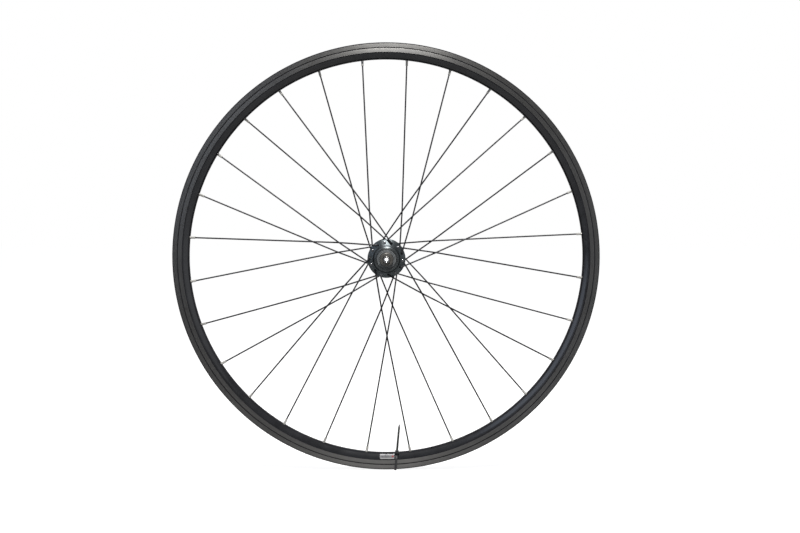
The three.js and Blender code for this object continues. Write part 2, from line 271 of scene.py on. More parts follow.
def rim_inner_mat():
    n = Net("rim_channel", metallic=0.6)
    line = n.rings(4.0, stretch=1.0)
    n.colour(n.mix(n.remap(line, 0.0, 1.0), (0.02, 0.021, 0.023), (0.05, 0.05, 0.053)))
    n.roughness(n.remap(n.noise(300, 4), 0.38, 0.6))
    n.bump((line, 0.15, 0.06))
    n.around_axle()
    return n.mat


def tape_mat():
    n = Net("rim_tape_weave", Sheen_Weight=0.35, Sheen_Roughness=0.5, Specular_IOR_Level=0.3)
    w = n.math("SINE", n.math("MULTIPLY", n.axial(), 2 * math.pi / 0.55))
    v = n.math("SINE", n.math("MULTIPLY", n.angle(), 307.6 * 2 * math.pi / 0.7))
    weave = n.math("MULTIPLY", w, v)
    tone = n.remap(weave, 0.0, 1.0, -1, 1)
    n.colour(n.mix(tone, (0.020, 0.055, 0.19), (0.045, 0.105, 0.33)))
    n.roughness(n.remap(n.noise(400, 3), 0.62, 0.8))
    n.bump((weave, 0.5, 0.08), (n.noise(1500, 3), 0.1, 0.05))
    return n.mat


def spoke_mat():
    n = Net("spoke_black_wire", metallic=0.3, Specular_IOR_Level=0.3)
    fine = n.noise(1500, 3, 0.6)
    blot = n.noise(90, 4, 0.6)
    base = n.mix(n.remap(blot, 0.0, 1.0), (0.010, 0.010, 0.0115), (0.022, 0.022, 0.0245))
    n.colour(n.mix(n.remap(fine, 0.0, 0.4, 0.62, 0.8), base, (0.045, 0.045, 0.048)))
    n.roughness(n.remap(n.math("ADD", n.math("MULTIPLY", fine, 0.5), n.math("MULTIPLY", blot, 0.5)), 0.42, 0.58))
    n.bump((fine, 0.06, 0.01))
    return n.mat


def nipple_mat():
    n = Net("nipple_plated", metallic=0.3)
    fine = n.noise(1800, 3, 0.6)
    blot = n.noise(260, 4, 0.6)
    n.colour(n.mix(n.remap(blot, 0.0, 1.0), (0.20, 0.196, 0.184), (0.33, 0.322, 0.302)))
    n.roughness(n.remap(fine, 0.34, 0.50))
    n.bump((fine, 0.06, 0.01))
    return n.mat


def nylon_mat():
    n = Net("tie_moulded_nylon", Specular_IOR_Level=0.5, Coat_Weight=0.1, Coat_Roughness=0.3)
    fine = n.noise(2200, 4, 0.7)
    blot = n.noise(120, 4, 0.6)
    n.colour(n.mix(n.remap(blot, 0.0, 1.0), (0.009, 0.009, 0.010), (0.020, 0.020, 0.022)))
    n.roughness(n.remap(n.math("ADD", n.math("MULTIPLY", fine, 0.5), n.math("MULTIPLY", blot, 0.5)), 0.33, 0.52))
    n.bump((fine, 0.15, 0.03))
    return n.mat


def label_mat(name, dark, light, metallic, r0=0.22, r1=0.4):
    n = Net(name, metallic=metallic, Coat_Weight=0.08, Coat_Roughness=0.15, Specular_IOR_Level=0.3)
    grain = n.noise(900, 3, 0.6)
    crease = n.noise(140, 4, 0.7, distortion=0.8)
    n.colour(n.mix(n.remap(n.math("ADD", n.math("MULTIPLY", grain, 0.3), n.math("MULTIPLY", crease, 0.7)), 0.0, 1.0), dark, light))
    n.roughness(n.remap(crease, r0, r1))
    n.bump((crease, 0.12, 0.2), (grain, 0.05, 0.02))
    return n.mat


def rubber_mat():
    n = Net("seal_moulded_rubber", Specular_IOR_Level=0.4)
    fine = n.noise(2400, 4, 0.7)
    n.colour(n.mix(n.remap(n.noise(240, 4), 0.0, 1.0), (0.046, 0.050, 0.052), (0.078, 0.083, 0.085)))
    n.roughness(n.remap(fine, 0.42, 0.58))
    n.bump((fine, 0.2, 0.03), (n.rings(3.0), 0.1, 0.05))
    return n.mat


M = {
    "track": rim_track_mat(), "wall": rim_wall_mat(), "channel": rim_inner_mat(), "tape": tape_mat(),
    "bed": rim_bed_mat(),
    "spoke": spoke_mat(), "nipple": nipple_mat(), "nylon": nylon_mat(), "rubber": rubber_mat(),
    "label": label_mat("label_silver", (0.072, 0.071, 0.075), (0.105, 0.103, 0.108), 0.2),
    "label_bar": label_mat("label_bar", (0.16, 0.16, 0.16), (0.22, 0.22, 0.22), 0.05),
    "label_dark": label_mat("label_field", (0.035, 0.036, 0.038), (0.06, 0.061, 0.064), 0.2),
    "label_red": label_mat("label_block", (0.13, 0.012, 0.012), (0.19, 0.022, 0.02), 0.0),
    "hub": turned_metal("hub_polished_black", (0.074, 0.085, 0.090), (0.112, 0.127, 0.133), 0.38, 0.48,
                        metallic=0.92, aniso=0.92, per_mm=1.6, bump=0.05),
    # hub_lip is a slightly lighter copy of the hub metal on the boss end face: painted light that makes that ring read
    # brighter.
    "hub_lip": turned_metal("hub_lip_painted_light", (0.082, 0.090, 0.093), (0.124, 0.134, 0.137), 0.40, 0.50,
                            metallic=0.92, aniso=0.9, per_mm=1.6, bump=0.05),
    # hub_root is a much darker copy of the hub metal: painted shade for the fillet ring between boss and flange.
    "hub_root": turned_metal("hub_root_painted_shade", (0.022, 0.025, 0.027), (0.036, 0.040, 0.043), 0.44, 0.54,
                             metallic=0.9, aniso=0.6, per_mm=1.6, bump=0.04),
    # spoke_head is glossier than the black wire, and its much lighter base is a painted highlight for the bright heads
    # on the flange.
    "spoke_head": turned_metal("spoke_head_painted_highlight", (0.10, 0.10, 0.105), (0.18, 0.18, 0.185), 0.20, 0.30,
                               metallic=0.8, aniso=0.0, bump=0.0),
    "cap": turned_metal("end_cap_turned", (0.066, 0.063, 0.058), (0.090, 0.086, 0.079), 0.36, 0.48,
                        metallic=0.6, aniso=0.5, per_mm=1.6, bump=0.05),
    "axle": turned_metal("axle_turned", (0.13, 0.128, 0.124), (0.27, 0.265, 0.255), 0.26, 0.42, bump=0.14),
    # bore is a near-white mirror copy of the axle metal: painted light standing in for the white seen down the hollow
    # axle.
    "bore": turned_metal("axle_bore_painted_light", (0.85, 0.85, 0.85), (0.95, 0.95, 0.95), 0.06, 0.12, aniso=0.0, bump=0.05),
    "steel": turned_metal("bearing_ground_steel", (0.48, 0.48, 0.49), (0.64, 0.64, 0.65), 0.14, 0.26, bump=0.06),
    "ratchet": turned_metal("ratchet_hardened", (0.27, 0.265, 0.26), (0.42, 0.415, 0.41), 0.26, 0.42, bump=0.1),
    "freehub": turned_metal("freehub_machined", (0.36, 0.365, 0.37), (0.52, 0.525, 0.53), 0.26, 0.42,
                            aniso=0.4, per_mm=3.5, bump=0.16),
}


# ------------------------------------------------------------- mesh helpers
def bent(points, sizes, steps=5, closed=True):
    """Round each corner of a polyline (2D or 3D) with a Bezier of the given reach."""
    P = [np.asarray(p, float) for p in points]
    n, out = len(P), []
    for i, p in enumerate(P):
        s = sizes if isinstance(sizes, (int, float)) else sizes[i]
        if s <= 0 or (not closed and i in (0, n - 1)):
            out.append(p)
            continue
        a, b = P[i - 1] - p, P[(i + 1) % n] - p
        la, lb = np.linalg.norm(a), np.linalg.norm(b)
        sa, sb = min(s, 0.48 * la), min(s, 0.48 * lb)
        a, b = p + a / la * sa, p + b / lb * sb
        for t in np.linspace(0, 1, steps + 1):
            out.append(a * (1 - t) ** 2 + p * 2 * t * (1 - t) + b * t ** 2)
    return np.array(out)


def facing_out(V, F, void=False):
    vol = 0.0
    for f in F:
        a = V[f[0]]
        for k in range(1, len(f) - 1):
            vol += a.dot(np.cross(V[f[k]], V[f[k + 1]]))
    if (vol < 0) != void:
        F = [tuple(reversed(f)) for f in F]
    return V, F


def lathe(profile, n, wave=None, void=False):
    """Closed [r, y] profile turned round the axle; wave(theta, r, y) may shift r."""
    P = np.asarray(profile, float)
    m = len(P)
    t = np.arange(n) * 2 * math.pi / n
    R = np.repeat(P[None, :, 0], n, 0)
    Y = np.repeat(P[None, :, 1], n, 0)
    if wave:
        R, Y = wave(t[:, None], R, Y)
    V = np.stack([R * np.cos(t)[:, None], Y, R * np.sin(t)[:, None]], -1).reshape(-1, 3)
    F = []
    for i in range(n):
        i2 = (i + 1) % n
        for j in range(m):
            j2 = (j + 1) % m
            F.append((i * m + j, i * m + j2, i2 * m + j2, i2 * m + j))
    return facing_out(V, F, void)


def sweep(points, radii, sides=12, section=None, start=None):
    """Closed tube along an open path, with parallel-transported rings."""
    P = np.asarray(points, float)
    n = len(P)
    T = np.empty_like(P)
    T[1:-1] = P[2:] - P[:-2]
    T[0], T[-1] = P[1] - P[0], P[-1] - P[-2]
    T /= np.linalg.norm(T, axis=1)[:, None]
    u = start if start is not None else (np.array([0, 0, 1.0]) if abs(T[0][2]) < 0.9 else np.array([1.0, 0, 0]))
    V, F = [], []
    ang = np.arange(sides) * 2 * math.pi / sides
    for i in range(n):
        u = unit(u - T[i] * u.dot(T[i]))
        v = np.cross(T[i], u)
        r = radii[i] if np.ndim(radii) else radii
        k = np.full(sides, float(r)) if section is None else section(i, ang, r)
        V.append(P[i] + np.cos(ang)[:, None] * k[:, None] * u + np.sin(ang)[:, None] * k[:, None] * v)
    V = np.concatenate(V)
    for i in range(n - 1):
        for j in range(sides):
            j2 = (j + 1) % sides
            F.append((i * sides + j, i * sides + j2, (i + 1) * sides + j2, (i + 1) * sides + j))
    F.append(tuple(range(sides))[::-1])
    F.append(tuple((n - 1) * sides + j for j in range(sides)))
    return facing_out(V, F)


def rod(a, b, profile, sides=24):
    """Solid of revolution between a and b; profile is (share of length, radius) pairs."""
    a, b = np.asarray(a, float), np.asarray(b, float)
    pts = [a + (b - a) * t for t, _ in profile]
    return sweep(pts, [r for _, r in profile], sides)


def merged(*parts):
    V, F, k = [], [], 0
    for v, f in parts:
        V.append(v)
        F += [tuple(i + k for i in q) for q in f]
        k += len(v)
    return np.concatenate(V), F


def mesh_object(name, V, F, mats, index=None):
    me = bpy.data.meshes.new(name)
    me.from_pydata((np.asarray(V) * MM).tolist(), [], [tuple(int(i) for i in f) for f in F])
    for m in mats:
        me.materials.append(m)
    if index is not None:
        me.polygons.foreach_set("material_index", np.asarray(index, dtype=np.int32))
    me.update()
    ob = bpy.data.objects.new(name, me)
    scene.collection.objects.link(ob)
    return ob


def cut(ob, V, F, mat_index=None):
    """Drill the tools out of the piece."""
    tool = mesh_object("tool", V, F, [ob.data.materials[mat_index or 0]])
    mod = ob.modifiers.new("cut", "BOOLEAN")
    mod.operation, mod.solver, mod.object = "DIFFERENCE", "EXACT", tool
    dg = bpy.context.evaluated_depsgraph_get()
    me = bpy.data.meshes.new_from_object(ob.evaluated_get(dg))
    ob.modifiers.clear()
    old = ob.data
    ob.data = me
    me.name = ob.name
    bpy.data.meshes.remove(old)
    gone = tool.data
    bpy.data.objects.remove(tool)
    bpy.data.meshes.remove(gone)


def finish_piece(ob, body, nodes=(), angle=32):
    ob.data.shade_smooth()
    ob.data.set_sharp_from_angle(angle=rad(angle))
    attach(ob, body)
    if nodes:
        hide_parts(*nodes)
    return ob


def turned(name, profile, mat, body, nodes=(), n=96, reach=0.25, wave=None, angle=32):
    P = bent(profile, reach, 3)
    ob = mesh_object(name, *lathe(P, n, wave), [M[mat]])
    return finish_piece(ob, body, nodes, angle)


# ---------------------------------------------------------------------- rim
def build_rim():
    half = [  # outer skin, right half, from the hook to the middle of the bed: [R, y], reach, finish
        ((316.5, 7.9), 0.35, 2), ((316.5, 10.5), 0.55, 0), ((315.25, 10.5), 0.05, 0),
        ((309.65, 10.5), 0.08, 0), ((309.35, 10.05), 0.12, 0), ((308.55, 10.05), 0.12, 0), ((308.25, 10.5), 0.08, 0),
        ((302.3, 10.5), 0.2, 1), ((301.9, 10.12), 0.15, 1), ((301.3, 10.0), 0.6, 1), ((298.6, 8.95), 1.4, 1),
        ((293.95, 6.45), 0.45, 1), ((293.45, 5.6), 0.5, 1), ((293.2, 2.0), 1.2, 1),
    ]
    inner = [((307.0, 4.6), 0.9, 2), ((310.9, 6.3), 0.7, 2), ((311.0, 8.4), 0.5, 2), ((311.9, 8.9), 0.5, 2),
             ((314.4, 8.7), 0.5, 2), ((315.4, 7.7), 0.5, 2)]
    ring = half + [((r, -y), s, k) for (r, y), s, k in reversed(half)]
    ring += [((r, -y), s, 2) for (r, y), s, _ in reversed(inner)] + inner
    pts, mats, tag = [p for p, _, _ in ring], [], []
    P = bent(pts, [s for _, s, _ in ring], 4)
    # finish of every profile segment from where its middle lies
    m = len(P)
    for j in range(m):
        r, y = (P[j] + P[(j + 1) % m]) / 2
        if 302.05 < r < 315.25 and abs(y) > 10.485:
            tag.append(1)
        elif r > 305.5 and abs(y) < 9.3:
            tag.append(2)
        elif r < 294.9 or r > 315.25 or 308.0 < r < 309.8 or 301.5 < r < 302.4:
            tag.append(3)
        else:
            tag.append(0)
    n = SPOKES * 12
    V1, F1 = lathe(P, n)
    chamber = bent([(305.0, 8.6), (302.2, 8.6), (295.4, 5.0), (295.4, -5.0), (302.2, -8.6), (305.0, -8.6)], 0.8, 3)
    V2, F2 = lathe(chamber, n, void=True)
    V, F = merged((V1, F1), (V2, F2))
    index = tag * n + [2] * (len(F2))
    ob = mesh_object("rim_body", V, F, [M["wall"], M["track"], M["channel"], M["bed"]], index)
    tools = []
    for i in range(SPOKES):
        a = FIRST + STEP * i
        tools.append(rod(polar(291.0, a), polar(299.0, a), [(0, 3.0), (0.25, 2.75), (0.36, 2.45), (1, 2.45)], 20))
        tools.append(rod(polar(301.5, a), polar(309.5, a), [(0, 3.6), (1, 3.6)], 20))
    tools.append(rod(polar(291.0, VALVE_AT), polar(309.5, VALVE_AT),
                     [(0, 3.9), (0.12, 3.6), (0.16, 3.25), (1, 3.25)], 28))
    cut(ob, *merged(*tools))
    finish_piece(ob, "wheel", ["rim"], 28)

    V, F = lathe(bent([(307.35, -4.5), (307.35, 4.5), (307.85, 4.4), (307.8, 0), (307.85, -4.4)], 0.12, 2), n)
    tape = mesh_object("rim_tape_band", V, F, [M["tape"]])
    cut(tape, *rod(polar(304.0, VALVE_AT), polar(311.0, VALVE_AT), [(0, 3.3), (1, 3.3)], 24))
    finish_piece(tape, "wheel", ["rim_tape"])


# ------------------------------------------------------------------- spokes
def build_spokes():
    holes = []
    up_y = np.array([0, 1.0, 0])
    for i in range(SPOKES):
        left = i % 2 == 1
        side, plane, lean = (-1, FLANGE_L, LEAN[i]) if left else (1, FLANGE_RT, LEAN[i])
        rim_a = FIRST + STEP * i
        elbow_out = lean > 0 if left else lean < 0
        out = side if elbow_out else -side
        hub_a = rim_a - lean * 4 * STEP
        cross_y = plane * (1 - (CROSS_R - HOLE_PCR) / (BED_R - HOLE_PCR)) + (-side if elbow_out else side) * CROSS_HALF
        hole = polar(HOLE_PCR, hub_a, plane)
        cross = polar(CROSS_R, rim_a - lean * STEP, cross_y)
        flat = cross - hole
        flat[1] = 0
        flat = unit(flat)
        at = lambda along, up: hole + flat * along + up_y * (out * up)
        rim_p = polar(294.5, rim_a)
        run = unit(rim_p - cross)
        holes.append((hub_a, plane))
        head = [(-3.15, 0.25), (-3.10, 0.8), (-2.97, 1.3), (-2.7, 1.75), (-2.35, 2.05), (-2.1, 2.15), (-1.95, 2.1),
                (-1.88, 1.85), (-1.84, 1.05)]
        pts = [at(0, u) for u, _ in head]
        r = [k for _, k in head]
        body = bent([at(0, -1.6), at(0, 3.2), at(8.2, 3.2), cross, rim_p - 2 * run], [0, 1.9, 3.2, 5.0, 0], 7, closed=False)
        pts += list(body)
        r += [1.1] * len(body)
        V, F = sweep(pts, r, 14)
        # The head rings take the spoke_head material, whose lighter base is a painted highlight.
        tag = [1] * (14 * 8) + [0] * (14 * (len(pts) - 9)) + [1, 0]
        wire = mesh_object(f"spoke_wire_{i + 1:02d}", V, F, [M["spoke"], M["spoke_head"]], tag)
        finish_piece(wire, "wheel", [f"spoke_{i + 1:02d}"], 40)

        # Nipple: square flats for the key, a round neck in the hole, a domed head in the chamber.
        st = [(-9.34, 1.2, 0), (-9.3, 1.5, 0), (-9.15, 1.68, 0), (-8.9, 1.85, 1), (-2.9, 1.95, 1), (-2.5, 2.05, 0),
              (-1.9, 2.05, 0), (1.6, 2.05, 0), (2.0, 3.0, 0), (2.6, 3.1, 0), (3.5, 2.6, 0), (4.1, 1.6, 0), (4.3, 0.6, 0)]
        flats = lambda k, ang, rr: (np.minimum(rr * 1.1, 1.68 / np.maximum(np.abs(np.cos(ang)), np.abs(np.sin(ang))))
                                    if st[k][2] else np.full(len(ang), float(rr)))
        V, F = sweep([rim_p + run * s for s, _, _ in st], [q for _, q, _ in st], 24, flats, start=polar(1, rim_a + 90))
        nip = mesh_object(f"nipple_{i + 1:02d}", V, F, [M["nipple"]])
        finish_piece(nip, "wheel", (), 34)
    return holes


# ---------------------------------------------------------------------- hub
def build_hub(holes):
    prof = [  # [r, y], reach
        ((14.4, -49.4), 0.25), ((17.0, -49.4), 0.5), ((18.2, -48.2), 0.5), ((18.2, -46.0), 0.15), ((17.85, -45.7), 0.12),
        ((17.85, -45.2), 0.12), ((18.2, -44.9), 0.15), ((18.2, -41.9), 1.2), ((19.9, -40.1), 0.9), ((27.0, -38.15), 0.6),
        ((27.75, -37.3), 0.5), ((27.75, -36.2), 0.5), ((27.0, -35.45), 0.5), ((20.6, -35.2), 1.8), ((15.6, -28.5), 3.0),
        ((14.9, -18.0), 4.0), ((14.9, 4.0), 3.0), ((15.6, 12.5), 2.0), ((20.6, 19.2), 1.8), ((27.0, 19.45), 0.5),
        ((27.75, 20.2), 0.5), ((27.75, 21.8), 0.5), ((27.0, 22.6), 0.5), ((20.9, 23.2), 0.9), ((20.2, 24.4), 0.6),
        ((20.2, 27.4), 0.5), ((19.6, 28.0), 0.3), ((18.4, 28.0), 0.2), ((18.4, 20.5), 0.2), ((14.4, 20.5), 0.2),
        ((14.4, 12.8), 0.1), ((12.4, 12.8), 0.2), ((12.4, -41.2), 0.2), ((14.4, -41.2), 0.1),
    ]
    P = bent([p for p, _ in prof], [s for _, s in prof], 5)
    V, F = lathe(P, 168)
    tag, m = [], len(P)
    # Tag 1 gives the boss end face the slightly lighter hub_lip copy: painted light.
    for j in range(m):
        r, y = (P[j] + P[(j + 1) % m]) / 2
        # Tag 2 gives the boss-to-flange fillet ring the darker hub_root copy: painted shade.
        tag.append(1 if y < -48.8 and 14.3 < r < 17.6 else 2 if -44.6 < y < -39.9 and 18.1 < r < 20.4 else 0)
    ob = mesh_object("hub_shell_turned", V, F, [M["hub"], M["hub_lip"], M["hub_root"]], tag * 168)
    tools = []
    for a, y in holes:
        s = -1 if y < 0 else 1
        face_out, face_in = y + s * 2.1, y - s * 1.65
        tools.append(rod(polar(HOLE_PCR, a, face_in - s * 0.6), polar(HOLE_PCR, a, face_out + s * 0.9),
                         [(0, 2.3), (0.115, 1.7), (0.2, 1.3), (0.72, 1.3), (0.84, 1.7), (1, 2.5)], 18))
    cut(ob, *merged(*tools))
    finish_piece(ob, "wheel", ["hub_shell"], 30)

    # Axle with its chamfered bore
    prof = [(2.6, -70.0), (3.1, -70.5), (4.6, -70.5), (5.0, -70.1), (5.0, -52.0), (7.5, -52.0), (7.5, -41.2), (9.0, -41.2),
            (9.0, 12.8), (7.5, 12.8), (7.5, 61.5), (5.0, 61.5), (5.0, 70.1), (4.6, 70.5), (3.1, 70.5), (2.6, 70.0)]
    P = bent(prof, 0.12, 2)
    V, F = lathe(P, 96)
    m = len(P)
    # Tag 1 gives the bore the near-white finish: painted light for the white seen down the hollow axle.
    tag = [1 if (P[j][0] + P[(j + 1) % m][0]) / 2 < 3.15 else 0 for j in range(m)]
    ob = mesh_object("axle_turned", V, F, [M["axle"], M["bore"]], tag * 96)
    finish_piece(ob, "axle_set", ["axle"])

    def serrated(t, R, Y):
        """Fine radial teeth on the outer face that grips the dropout."""
        ramp = np.clip((R - 5.9) / 0.5, 0, 1) * np.clip((8.9 - R) / 0.5, 0, 1)
        wave = 0.06 * np.sign(np.sin(t * 36)) * ramp
        s = np.sign(Y)
        return R, Y - np.where(np.abs(Y) > 64.5, s * (wave + 0.06 * ramp), 0)

    face = [(5.3, -64.6), (5.7, -65.0), (6.4, -65.0), (7.2, -65.0), (8.4, -65.0), (9.0, -65.0), (9.5, -64.5)]
    P = face + [(9.5, -61.2), (9.15, -60.9), (9.15, -60.3), (9.5, -60.0), (9.5, -50.4), (9.7, -49.7), (9.7, -49.1),
                (9.4, -48.8), (7.8, -48.8), (7.8, -52.3), (5.3, -52.3)]
    ob = mesh_object("left_end_cap_turned", *lathe(np.array(P), 144, serrated), [M["cap"]])
    finish_piece(ob, "axle_set", ["left_end_cap"], 30)
    P = [(r, -y) for r, y in face] + [(9.5, 61.4), (9.1, 61.0), (8.7, 60.4), (8.7, 59.5), (8.5, 59.3), (7.8, 59.3),
                                     (7.8, 61.8), (5.3, 61.8)]
    ob = mesh_object("right_end_cap_turned", *lathe(np.array(P), 144, serrated), [M["cap"]])
    finish_piece(ob, "axle_set", ["right_end_cap"], 30)

    turned("left_seal_moulded", [(9.95, -49.2), (10.5, -49.5), (11.0, -49.25), (11.8, -49.2), (12.2, -49.42), (12.6, -49.2),
                                 (14.0, -49.3), (14.0, -48.8), (9.95, -48.8)], "rubber", "wheel",
           ["left_bearing_seal"], reach=0.12)


def bearing(name, y0, y1, r, ball, count, inner_body, outer_body, cage_body, shield):
    """Cartridge bearing: grooved races, round balls, a cage ring, and a shield held by the outer race."""
    c, mid = (y0 + y1) / 2, (r[1] + r[2]) / 2
    g = ball * 0.45
    turned(f"{name}_inner_ring", [(r[0], y0), (r[1], y0), (r[1], c - g), (r[1] - 0.18, c), (r[1], c + g), (r[1], y1),
                                  (r[0], y1)], "steel", inner_body, [f"{name}_inner_race"], reach=0.15)
    edge = y1 - 0.45 if shield > 0 else y0 + 0.45
    d = 0.14 if shield > 0 else -0.14
    lip = [(r[2], edge + d), (r[1] + 0.25, edge + d), (r[1] + 0.25, edge - d), (r[2], edge - d)]
    seq = [(r[2], y0), (r[2], c - g), (r[2] + 0.18, c), (r[2], c + g)]
    if shield > 0:
        seq = seq + lip[::-1] + [(r[2], y1)]
    else:
        seq = [seq[0]] + lip + seq[1:] + [(r[2], y1)]
    turned(f"{name}_outer_ring", seq + [(r[3], y1), (r[3], y0)], "steel", outer_body, [f"{name}_outer_race"],
           reach=0.08)
    b = min(ball, (r[2] - r[1]) / 2 - 0.03)
    parts = [lathe(bent([(mid - 0.3, c - b * 0.75), (mid + 0.3, c - b * 0.75), (mid + 0.3, c + b * 0.75),
                         (mid - 0.3, c + b * 0.75)], 0.1, 2), 72)]
    for k in range(count):
        p = polar(mid, 360 * k / count, c)
        s = [(0.5 - 0.5 * math.cos(q), max(math.sin(q), 0.02) * b) for q in np.linspace(0.05, math.pi - 0.05, 13)]
        parts.append(rod(p - np.array([0, b, 0]), p + np.array([0, b, 0]), s, 20))
    ob = mesh_object(f"{name}_ball_set", *merged(*parts), [M["steel"]])
    finish_piece(ob, cage_body, [f"{name}_balls"], 50)


def build_inside():
    bearing("left_bearing", -48.5, -41.5, (7.8, 9.0, 12.5, 14.0), 1.4, 7, "axle_set", "wheel", "left_bearing_cage", -1)
    bearing("right_bearing", 13.1, 20.1, (7.8, 9.0, 12.5, 14.0), 1.4, 7, "axle_set", "wheel", "right_bearing_cage", 1)
    bearing("freehub_inner_bearing", 31.0, 36.0, (7.8, 8.7, 10.9, 12.0), 0.8, 7, "axle_set", "freehub",
            "freehub_inner_cage", -1)
    bearing("freehub_outer_bearing", 54.0, 59.0, (7.8, 8.7, 10.9, 12.0), 0.8, 7, "axle_set", "freehub",
            "freehub_outer_cage", 1)
    for name, r0, r1, y0, y1, body in (
            ("drive_side_spacer", 7.8, 9.0, 20.4, 30.7, "axle_set"),
            ("freehub_inner_spacer", 7.8, 8.7, 36.3, 53.7, "axle_set"),
            ("freehub_outer_spacer", 10.9, 12.0, 36.3, 53.7, "freehub")):
        turned(name + "_tube", [(r0, y0), (r1, y0), (r1, y1), (r0, y1)], "steel", body, [name], reach=0.2)
    turned("freehub_seal_moulded", [(14.0, 27.1), (15.4, 27.1), (15.8, 26.95), (16.2, 27.1), (18.0, 27.15), (18.0, 27.8),
                                    (14.0, 27.8)], "rubber", "freehub", ["freehub_seal"], reach=0.12)

    # Ratchet ring, saw teeth inside
    def saw(t, R, Y):
        a = np.degrees(t) - 22.5
        f = np.mod(a, 15.0)
        tooth = np.where(f < 0.8, 15.9 - 1.3 * f / 0.8, 14.6 + 1.3 * (f - 0.8) / 14.2)
        return np.where(R < 16.5, tooth + (R - 15.0), R), Y

    turned("ratchet_ring_teeth", [(15.0, 21.1), (15.2, 20.9), (17.9, 20.9), (18.1, 21.1), (18.1, 26.5), (17.9, 26.7),
                                  (15.2, 26.7), (15.0, 26.5)], "ratchet", "wheel", ["ratchet_ring"],
           n=450, reach=0.0, wave=saw, angle=30)

    # Freehub body: nine splines, stop flange, pawl carrier with three pockets
    def splines(t, R, Y):
        f = np.mod(np.degrees(t) + 20.0, 40.0) - 20.0
        rib = np.clip((5.3 - np.abs(f)) / 0.5, 0, 1)
        zone = (R > 15.9) & (R < 16.6) & (Y > 30.15)
        return np.where(zone, R + 1.1 * rib, R), Y

    prof = [(9.6, 21.2), (9.8, 21.0), (13.1, 21.0), (13.3, 21.2), (13.3, 26.25), (12.5, 26.3), (12.5, 27.0), (13.3, 27.05),
            (13.3, 28.5), (13.5, 28.6), (17.9, 28.6), (18.2, 28.9), (18.2, 29.9), (17.9, 30.2), (16.2, 30.2),
            (16.2, 30.8), (16.2, 34.0), (16.2, 38.0), (16.2, 42.0), (16.2, 46.0), (16.2, 50.0), (16.2, 54.0), (16.2, 57.0),
            (15.95, 57.5), (15.3, 57.6), (15.3, 58.0), (15.05, 58.2), (15.05, 58.5), (15.3, 58.7), (15.3, 59.7),
            (15.0, 60.0), (12.6, 60.0), (12.3, 59.7), (12.3, 30.7), (9.6, 30.7)]
    V, F = lathe(np.array(prof), 360, splines)
    ob = mesh_object("freehub_body_machined", V, F, [M["freehub"]])
    pocket = [(10.2, -1.6), (16.0, -1.6), (16.0, 6.6), (10.2, 6.6)]
    tools = []
    for k in range(3):
        c, s = math.cos(rad(120 * k)), math.sin(rad(120 * k))
        q = [(x * c - z * s, x * s + z * c) for x, z in pocket]
        V = np.array([(x, y, z) for y in (21.9, 26.1) for x, z in q])
        tools.append(facing_out(V, [(0, 1, 2, 3), (7, 6, 5, 4), (0, 4, 5, 1), (1, 5, 6, 2), (2, 6, 7, 3), (3, 7, 4, 0)]))
    cut(ob, *merged(*tools))
    finish_piece(ob, "freehub", ["freehub_body"], 30)

    # Pawls with eased edges
    outline = [(10.7, -0.8), (12.4, -1.1), (12.9, 0.2), (12.9, 5.6), (11.9, 6.0), (11.2, 1.2)]
    for k, body in enumerate(("pawl_a", "pawl_b", "pawl_c")):
        c, s = math.cos(rad(120 * k)), math.sin(rad(120 * k))
        shape = bent(outline, [0.5, 0.4, 0.3, 0.12, 0.3, 0.4], 4)
        q = np.array([(x * c - z * s, x * s + z * c) for x, z in shape])
        mid = q.mean(0)
        V, F, m = [], [], len(q)
        for y, sc in ((22.2, 0.93), (22.35, 1.0), (25.65, 1.0), (25.8, 0.93)):
            V += [(mid[0] + (x - mid[0]) * sc, y, mid[1] + (z - mid[1]) * sc) for x, z in q]
        for a in range(3):
            for j in range(m):
                F.append((a * m + j, a * m + (j + 1) % m, (a + 1) * m + (j + 1) % m, (a + 1) * m + j))
        F += [tuple(range(m))[::-1], tuple(range(3 * m, 4 * m))]
        ob = mesh_object(f"pawl_{k + 1}_hardened", *facing_out(np.array(V), F), [M["ratchet"]])
        finish_piece(ob, body, [f"pawl_{k + 1}"], 30)
    V, F = sweep([polar(13.0, 20 + 5 * k, 26.65) for k in range(65)], 0.2, 8)
    finish_piece(mesh_object("pawl_spring_wire", V, F, [M["ratchet"]]), "freehub", ["pawl_spring"], 40)


